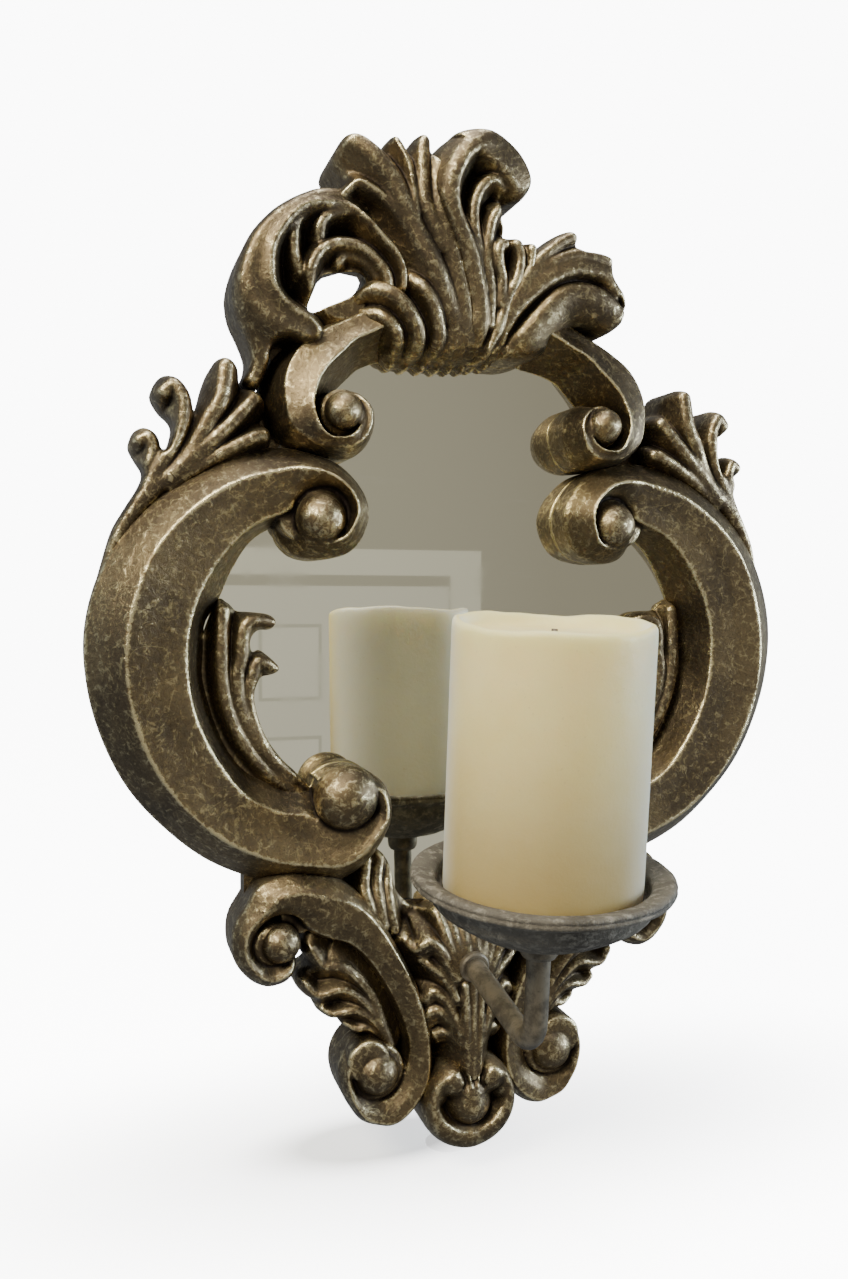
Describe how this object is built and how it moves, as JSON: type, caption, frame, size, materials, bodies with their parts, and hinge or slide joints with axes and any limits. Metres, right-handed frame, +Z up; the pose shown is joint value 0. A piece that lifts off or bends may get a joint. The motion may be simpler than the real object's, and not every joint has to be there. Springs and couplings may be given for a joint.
{
  "type": "wall sconce candle holder",
  "caption": "Ornate scrolled wall sconce: a cast leaf-and-scroll frame round a mirror, with a bent arm carrying a drip dish and a pillar candle.",
  "frame": {"origin": "on the wall plane, midway between the entry holes of the two hanging keyholes", "axes": "+X to the viewer's right, +Z up, +Y into the wall, so the sconce stands out towards -Y"},
  "size_m": [0.3262, 0.1526, 0.4467],
  "materials": {
    "antique_bronze": "antique bronze paint rubbed back to gold on the ridges, semi-gloss",
    "mirror_glass": "silvered float glass",
    "hardboard": "brown hardboard, matt",
    "zinc_steel": "zinc-plated steel",
    "arm_bronze": "dull grey-bronze paint",
    "dish_paint": "grey-bronze paint with a dusty sand texture",
    "wax": "ivory wax, satin",
    "wick_cotton": "charred cotton"
  },
  "bodies": {
    "root": {"arm_nut": "zinc_steel", "arm_washer": "zinc_steel", "backing_board": "hardboard", "bottom_shell": "antique_bronze", "button_screws": "zinc_steel", "c_scroll_left": "antique_bronze", "c_scroll_right": "antique_bronze", "candle_arm": "arm_bronze", "crest_band": "antique_bronze", "crest_curl": "antique_bronze", "crest_leaf_left": "antique_bronze", "crest_leaf_right": "antique_bronze", "crest_plume": "antique_bronze", "dish_screw": "zinc_steel", "drip_dish": "dish_paint", "ferrule": "arm_bronze", "frame_back": "antique_bronze", "hanger_left": "zinc_steel", "hanger_right": "zinc_steel", "hanger_screws": "zinc_steel", "inner_sprig_left": "antique_bronze", "inner_sprig_right": "antique_bronze", "lower_leaf_left": "antique_bronze", "lower_leaf_right": "antique_bronze", "mirror_glass": "mirror_glass", "palmette": "antique_bronze", "s_scroll_left": "antique_bronze", "s_scroll_right": "antique_bronze", "side_sprig_left": "antique_bronze", "side_sprig_right": "antique_bronze", "socket_ring": "arm_bronze", "upper_scroll_left": "antique_bronze", "upper_scroll_right": "antique_bronze"},
    "candle": {"candle": "wax", "wick": "wick_cotton"},
    "turn_button_1": {"turn_button_1": "zinc_steel"},
    "turn_button_2": {"turn_button_2": "zinc_steel"},
    "turn_button_3": {"turn_button_3": "zinc_steel"},
    "turn_button_4": {"turn_button_4": "zinc_steel"}
  },
  "joints": [
    {"name": "candle_lift", "type": "slide", "parent": "root", "child": "candle", "axis": [0.0021, -0.0784, 0.9969], "range_m": [0, 0.11]},
    {"name": "button_1_turn", "type": "hinge", "parent": "root", "child": "turn_button_1", "pos_m": [-0.112, -0.004, 0.03], "axis": [0, 1, 0], "range_deg": [0, 90]},
    {"name": "button_2_turn", "type": "hinge", "parent": "root", "child": "turn_button_2", "pos_m": [0.112, -0.004, 0.03], "axis": [0, 1, 0], "range_deg": [-90, 0]},
    {"name": "button_3_turn", "type": "hinge", "parent": "root", "child": "turn_button_3", "pos_m": [-0.114, -0.004, -0.08], "axis": [0, 1, 0], "range_deg": [-90, 0]},
    {"name": "button_4_turn", "type": "hinge", "parent": "root", "child": "turn_button_4", "pos_m": [0.114, -0.004, -0.08], "axis": [0, 1, 0], "range_deg": [0, 90]}
  ]
}
